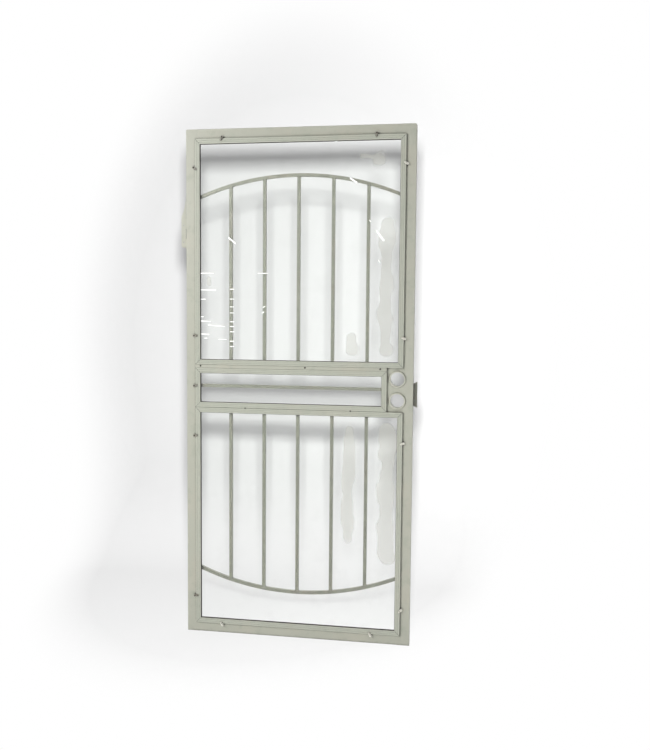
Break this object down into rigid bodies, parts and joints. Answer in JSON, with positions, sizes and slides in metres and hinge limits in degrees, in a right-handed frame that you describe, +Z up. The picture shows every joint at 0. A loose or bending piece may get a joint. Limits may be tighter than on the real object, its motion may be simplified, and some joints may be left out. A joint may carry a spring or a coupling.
{
  "type": "glazed steel security door",
  "caption": "Steel tube door leaf with upright bars between two arched bars, glazed inserts held by turn clips, lock bores and surface hinges",
  "frame": {"origin": "the wall side of the upper hinge's wall flap, midway between its two screw holes", "axes": "+Z up, +X across the leaf from its hinge edge to its lock edge, -Y towards the room"},
  "size_m": [0.9575, 0.0539, 2.032],
  "materials": {
    "frame_paint": "satin, slightly mottled paint on steel",
    "insert_paint": "the same satin paint on aluminium",
    "clip_paint": "satin paint, worn at the edges",
    "pin_paint": "satin paint",
    "glass": "clear float glass"
  },
  "bodies": {
    "upper_flap": {"upper_hinge_flap": "frame_paint"},
    "leaf": {"hinge_stile": "frame_paint", "lock_stile": "frame_paint", "top_rail": "frame_paint", "bottom_rail": "frame_paint", "upper_middle_rail": "frame_paint", "lower_middle_rail": "frame_paint", "lock_box": "frame_paint", "lock_sleeves": "frame_paint", "upper_arch_bar": "frame_paint", "lower_arch_bar": "frame_paint", "upper_bars": "frame_paint", "lower_bars": "frame_paint", "middle_bar": "frame_paint", "clamp_strip": "frame_paint", "latch_guard": "frame_paint", "hinge_leaf_plates": "frame_paint", "hinge_pins": "pin_paint", "upper_insert_bottom": "insert_paint", "upper_insert_lock_side": "insert_paint", "upper_insert_top": "insert_paint", "upper_insert_hinge_side": "insert_paint", "middle_insert_bottom": "insert_paint", "middle_insert_lock_side": "insert_paint", "middle_insert_top": "insert_paint", "middle_insert_hinge_side": "insert_paint", "lower_insert_bottom": "insert_paint", "lower_insert_lock_side": "insert_paint", "lower_insert_top": "insert_paint", "lower_insert_hinge_side": "insert_paint", "upper_glass": "glass", "middle_glass": "glass", "lower_glass": "glass"},
    "middle_flap": {"middle_hinge_flap": "frame_paint"},
    "lower_flap": {"lower_hinge_flap": "frame_paint"},
    "top_clip_1": {"top_clip_1": "clip_paint"},
    "top_clip_2": {"top_clip_2": "clip_paint"},
    "hinge_side_clip_1": {"hinge_side_clip_1": "clip_paint"},
    "hinge_side_clip_2": {"hinge_side_clip_2": "clip_paint"},
    "hinge_side_clip_3": {"hinge_side_clip_3": "clip_paint"},
    "hinge_side_clip_4": {"hinge_side_clip_4": "clip_paint"},
    "hinge_side_clip_5": {"hinge_side_clip_5": "clip_paint"},
    "lock_side_clip_1": {"lock_side_clip_1": "clip_paint"},
    "lock_side_clip_2": {"lock_side_clip_2": "clip_paint"},
    "lock_side_clip_3": {"lock_side_clip_3": "clip_paint"},
    "lock_side_clip_4": {"lock_side_clip_4": "clip_paint"},
    "bottom_clip_1": {"bottom_clip_1": "clip_paint"},
    "bottom_clip_2": {"bottom_clip_2": "clip_paint"}
  },
  "joints": [
    {"name": "door_swing", "type": "hinge", "parent": "upper_flap", "child": "leaf", "pos_m": [0.016, 0.0065, 0], "axis": [0, 0, 1], "range_deg": [0, 170]},
    {"name": "middle_flap_turn", "type": "hinge", "parent": "leaf", "child": "middle_flap", "pos_m": [0.016, 0.0065, -0.609], "axis": [0, 0, 1], "range_deg": [0, 180]},
    {"name": "lower_flap_turn", "type": "hinge", "parent": "leaf", "child": "lower_flap", "pos_m": [0.016, 0.0065, -1.218], "axis": [0, 0, 1], "range_deg": [0, 180]},
    {"name": "top_clip_1_turn", "type": "hinge", "parent": "leaf", "child": "top_clip_1", "pos_m": [0.169, -0.0254, 0.3736], "axis": [0, -1, 0], "range_deg": [-70, 110]},
    {"name": "top_clip_2_turn", "type": "hinge", "parent": "leaf", "child": "top_clip_2", "pos_m": [0.781, -0.0254, 0.3736], "axis": [0, -1, 0], "range_deg": [-84, 96]},
    {"name": "hinge_side_clip_1_turn", "type": "hinge", "parent": "leaf", "child": "hinge_side_clip_1", "pos_m": [0.0524, -0.0254, 0.257], "axis": [0, -1, 0], "range_deg": [-55, 125]},
    {"name": "hinge_side_clip_2_turn", "type": "hinge", "parent": "leaf", "child": "hinge_side_clip_2", "pos_m": [0.0524, -0.0254, -0.408], "axis": [0, -1, 0], "range_deg": [-90, 90]},
    {"name": "hinge_side_clip_3_turn", "type": "hinge", "parent": "leaf", "child": "hinge_side_clip_3", "pos_m": [0.0524, -0.0254, -0.61], "axis": [0, -1, 0], "range_deg": [-99, 81]},
    {"name": "hinge_side_clip_4_turn", "type": "hinge", "parent": "leaf", "child": "hinge_side_clip_4", "pos_m": [0.0524, -0.0254, -0.813], "axis": [0, -1, 0], "range_deg": [-99, 81]},
    {"name": "hinge_side_clip_5_turn", "type": "hinge", "parent": "leaf", "child": "hinge_side_clip_5", "pos_m": [0.0524, -0.0254, -1.475], "axis": [0, -1, 0], "range_deg": [-96, 84]},
    {"name": "lock_side_clip_1_turn", "type": "hinge", "parent": "leaf", "child": "lock_side_clip_1", "pos_m": [0.8996, -0.0254, 0.256], "axis": [0, -1, 0], "range_deg": [-65, 115]},
    {"name": "lock_side_clip_2_turn", "type": "hinge", "parent": "leaf", "child": "lock_side_clip_2", "pos_m": [0.8996, -0.0254, -0.41], "axis": [0, -1, 0], "range_deg": [-75, 105]},
    {"name": "lock_side_clip_3_turn", "type": "hinge", "parent": "leaf", "child": "lock_side_clip_3", "pos_m": [0.8996, -0.0254, -0.817], "axis": [0, -1, 0], "range_deg": [-106, 74]},
    {"name": "lock_side_clip_4_turn", "type": "hinge", "parent": "leaf", "child": "lock_side_clip_4", "pos_m": [0.8996, -0.0254, -1.48], "axis": [0, -1, 0], "range_deg": [-132, 48]},
    {"name": "bottom_clip_1_turn", "type": "hinge", "parent": "leaf", "child": "bottom_clip_1", "pos_m": [0.169, -0.0254, -1.5916], "axis": [0, -1, 0], "range_deg": [-118, 62]},
    {"name": "bottom_clip_2_turn", "type": "hinge", "parent": "leaf", "child": "bottom_clip_2", "pos_m": [0.779, -0.0254, -1.5916], "axis": [0, -1, 0], "range_deg": [-123, 57]}
  ]
}
